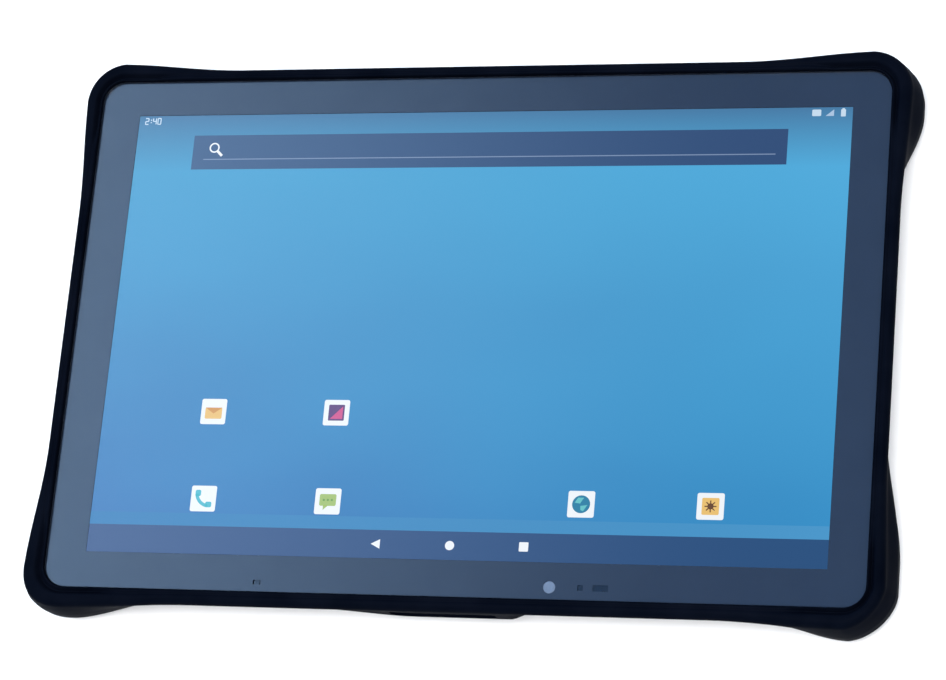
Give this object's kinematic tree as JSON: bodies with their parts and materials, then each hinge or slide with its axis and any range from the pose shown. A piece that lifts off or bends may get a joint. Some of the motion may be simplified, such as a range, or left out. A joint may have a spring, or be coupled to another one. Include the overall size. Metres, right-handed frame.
{
  "type": "rugged field data collector tablet",
  "caption": "Rugged handheld tablet data collector with a large touch screen, flared rubber corner guards, hinged port covers and side keys.",
  "frame": {"origin": "centre of the bounding box at the table plane under the four corner feet", "axes": "+X along the long side towards the right of the screen, +Y towards the top of the screen, +Z out of the screen; the tablet lies on its back"},
  "size_m": [0.2564, 0.1712, 0.0184],
  "materials": {
    "bumper_rubber": "fine-grained matte moulded rubber",
    "door_rubber": "matte moulded rubber",
    "key_rubber": "satin rubber-coated key",
    "power_key_rubber": "satin red rubber-coated key",
    "housing_plastic": "fine spark-textured polycarbonate",
    "cover_glass": "polished chemically strengthened glass",
    "border_ink": "black printed border under the glass",
    "touch_film": "clear conductive film",
    "lcd": "lit picture area, blue",
    "backlight": "pressed sheet-metal tray",
    "adhesive": "black foam tape",
    "magnesium": "die-cast magnesium, matt",
    "board_green": "solder-masked circuit board",
    "chip_black": "moulded chip package",
    "shield_metal": "pressed tin-plated lid",
    "antenna_ceramic": "sintered ceramic patch",
    "flex_film": "polyimide film",
    "battery_wrap": "wrapped pouch cell",
    "connector_steel": "bright pressed connector shell",
    "connector_black": "moulded connector body",
    "contact_gold": "gold-plated contact pads",
    "pin_steel": "turned steel pin",
    "screw_steel": "blackened steel screw",
    "insert_brass": "threaded brass insert",
    "camera_black": "black lens barrel",
    "lens_window": "coated camera window",
    "camera_ring": "anodised ring",
    "led_white": "diffused lamp body",
    "mesh_steel": "woven acoustic mesh",
    "motor_steel": "pressed motor can",
    "mic_metal": "metal-lidded microphone"
  },
  "bodies": {
    "tablet": {"bumper_frame": "bumper_rubber", "rear_housing": "housing_plastic", "cover_glass": "cover_glass", "border_mask": "border_ink", "touch_sensor": "touch_film", "lcd_panel": "lcd", "backlight_unit": "backlight", "display_adhesive": "adhesive", "mid_frame": "magnesium", "main_board": "board_green", "dock_board": "board_green", "card_board": "board_green", "battery_board": "board_green", "board_chips": "chip_black", "shield_cans": "shield_metal", "gnss_antenna": "antenna_ceramic", "display_flex": "flex_film", "link_flex": "flex_film", "side_antennas": "flex_film", "battery_cells": "battery_wrap", "usb_c_shell": "connector_steel", "hdmi_shell": "connector_steel", "card_sockets": "connector_steel", "port_inserts": "connector_black", "audio_socket": "connector_black", "dc_socket": "connector_black", "dock_connector": "connector_black", "side_key_switches": "connector_black", "speakers": "connector_black", "dock_contacts": "contact_gold", "door_pins": "pin_steel", "housing_screws": "screw_steel", "mount_inserts": "insert_brass", "front_camera": "camera_black", "front_sensors": "camera_black", "rear_camera": "camera_black", "rear_camera_window": "lens_window", "rear_camera_bezel": "camera_ring", "flash_led": "led_white", "status_led": "led_white", "speaker_meshes": "mesh_steel", "vibration_motor": "motor_steel", "microphone": "mic_metal"},
    "power_key_body": {"power_key": "power_key_rubber"},
    "volume_up_body": {"volume_up_key": "key_rubber"},
    "volume_down_body": {"volume_down_key": "key_rubber"},
    "function_key_body": {"function_key": "key_rubber"},
    "port_door_a_body": {"port_door_a": "door_rubber"},
    "port_door_b_body": {"port_door_b": "door_rubber"},
    "card_door_body": {"card_door": "door_rubber"}
  },
  "joints": [
    {"name": "power_key_press", "type": "slide", "parent": "tablet", "child": "power_key_body", "axis": [1, 0, 0], "range_m": [0, 0.0005], "stiffness_N_per_m": 1200, "springref_m": -0.0003},
    {"name": "volume_up_press", "type": "slide", "parent": "tablet", "child": "volume_up_body", "axis": [1, 0, 0], "range_m": [0, 0.0005], "stiffness_N_per_m": 1200, "springref_m": -0.0003},
    {"name": "volume_down_press", "type": "slide", "parent": "tablet", "child": "volume_down_body", "axis": [1, 0, 0], "range_m": [0, 0.0005], "stiffness_N_per_m": 1200, "springref_m": -0.0003},
    {"name": "function_key_press", "type": "slide", "parent": "tablet", "child": "function_key_body", "axis": [1, 0, 0], "range_m": [0, 0.0005], "stiffness_N_per_m": 1200, "springref_m": -0.0003},
    {"name": "port_door_a_hinge", "type": "hinge", "parent": "tablet", "child": "port_door_a_body", "pos_m": [-0.084, 0.0793, 0.00965], "axis": [0, 0, 1], "range_deg": [0, 90]},
    {"name": "port_door_b_hinge", "type": "hinge", "parent": "tablet", "child": "port_door_b_body", "pos_m": [0.084, 0.0793, 0.00965], "axis": [0, 0, -1], "range_deg": [0, 90]},
    {"name": "card_door_hinge", "type": "hinge", "parent": "tablet", "child": "card_door_body", "pos_m": [-0.1208, -0.052, 0.00965], "axis": [0, 0, 1], "range_deg": [0, 90]}
  ]
}
